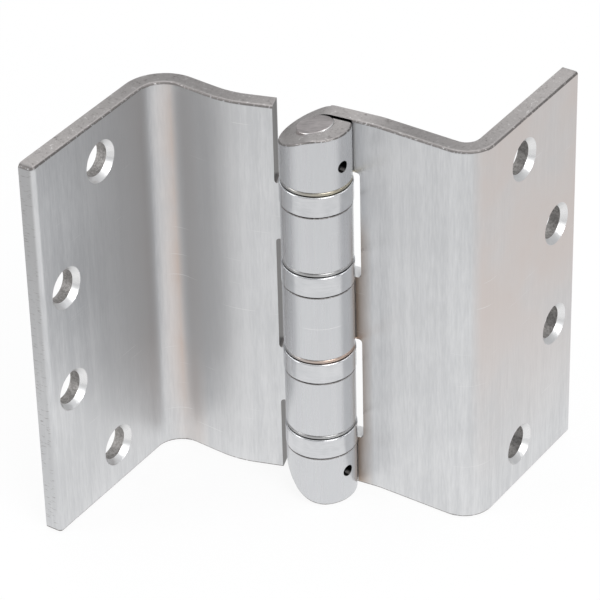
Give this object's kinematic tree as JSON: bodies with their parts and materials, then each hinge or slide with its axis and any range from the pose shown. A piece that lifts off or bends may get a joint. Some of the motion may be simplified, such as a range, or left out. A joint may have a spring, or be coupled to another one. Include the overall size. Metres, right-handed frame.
{
  "type": "swing clear hinge",
  "caption": "Full mortise swing clear door hinge with L-shaped leaves, knuckles on ball bearings and sloped barrel ends, which holds an open door clear of its frame.",
  "frame": {"origin": "on the back face of the frame leaf's flange, at mid-height and level with its outer pair of screw holes", "axes": "+Z along the pin towards the top of the hinge, -X out of the back of the frame flange, Y along the flange away from the pin"},
  "size_m": [0.0956, 0.1116, 0.1145],
  "materials": {
    "leaf_steel": "satin brushed, fine grain along the height",
    "barrel_steel": "satin, turned",
    "bearing_steel": "ground and polished",
    "ball_steel": "polished",
    "cage_brass": "stamped",
    "screw_steel": "plain"
  },
  "bodies": {
    "frame": {"frame_leaf": "leaf_steel", "hinge_pin": "barrel_steel", "top_tip": "barrel_steel", "bottom_tip": "barrel_steel", "top_set_screw": "screw_steel", "bottom_set_screw": "screw_steel", "upper_race_1": "bearing_steel", "bearing_shell_2": "bearing_steel", "lower_race_2": "bearing_steel", "upper_race_3": "bearing_steel", "bearing_shell_4": "bearing_steel", "lower_race_4": "bearing_steel"},
    "door": {"door_leaf": "leaf_steel", "bearing_shell_1": "bearing_steel", "lower_race_1": "bearing_steel", "upper_race_2": "bearing_steel", "bearing_shell_3": "bearing_steel", "lower_race_3": "bearing_steel", "upper_race_4": "bearing_steel"},
    "cage_1": {"ball_cage_1": "cage_brass", "bearing_balls_1": "ball_steel"},
    "cage_2": {"ball_cage_2": "cage_brass", "bearing_balls_2": "ball_steel"},
    "cage_3": {"ball_cage_3": "cage_brass", "bearing_balls_3": "ball_steel"},
    "cage_4": {"ball_cage_4": "cage_brass", "bearing_balls_4": "ball_steel"}
  },
  "joints": [
    {"name": "leaf_swing", "type": "hinge", "parent": "frame", "child": "door", "pos_m": [-0.0393, -0.0294, 0], "axis": [0, 0, 1], "range_deg": [-105, 182]},
    {"name": "cage_roll_1", "type": "hinge", "parent": "frame", "child": "cage_1", "pos_m": [-0.0393, -0.0294, 0], "axis": [0, 0, 1], "range_deg": [-53, 91.5]},
    {"name": "cage_roll_2", "type": "hinge", "parent": "frame", "child": "cage_2", "pos_m": [-0.0393, -0.0294, 0], "axis": [0, 0, 1], "range_deg": [-53, 91.5]},
    {"name": "cage_roll_3", "type": "hinge", "parent": "frame", "child": "cage_3", "pos_m": [-0.0393, -0.0294, 0], "axis": [0, 0, 1], "range_deg": [-53, 91.5]},
    {"name": "cage_roll_4", "type": "hinge", "parent": "frame", "child": "cage_4", "pos_m": [-0.0393, -0.0294, 0], "axis": [0, 0, 1], "range_deg": [-53, 91.5]}
  ],
  "couplings": [
    {"joint": "cage_roll_1", "follows": "leaf_swing", "ratio": 0.5},
    {"joint": "cage_roll_2", "follows": "leaf_swing", "ratio": 0.5},
    {"joint": "cage_roll_3", "follows": "leaf_swing", "ratio": 0.5},
    {"joint": "cage_roll_4", "follows": "leaf_swing", "ratio": 0.5}
  ]
}
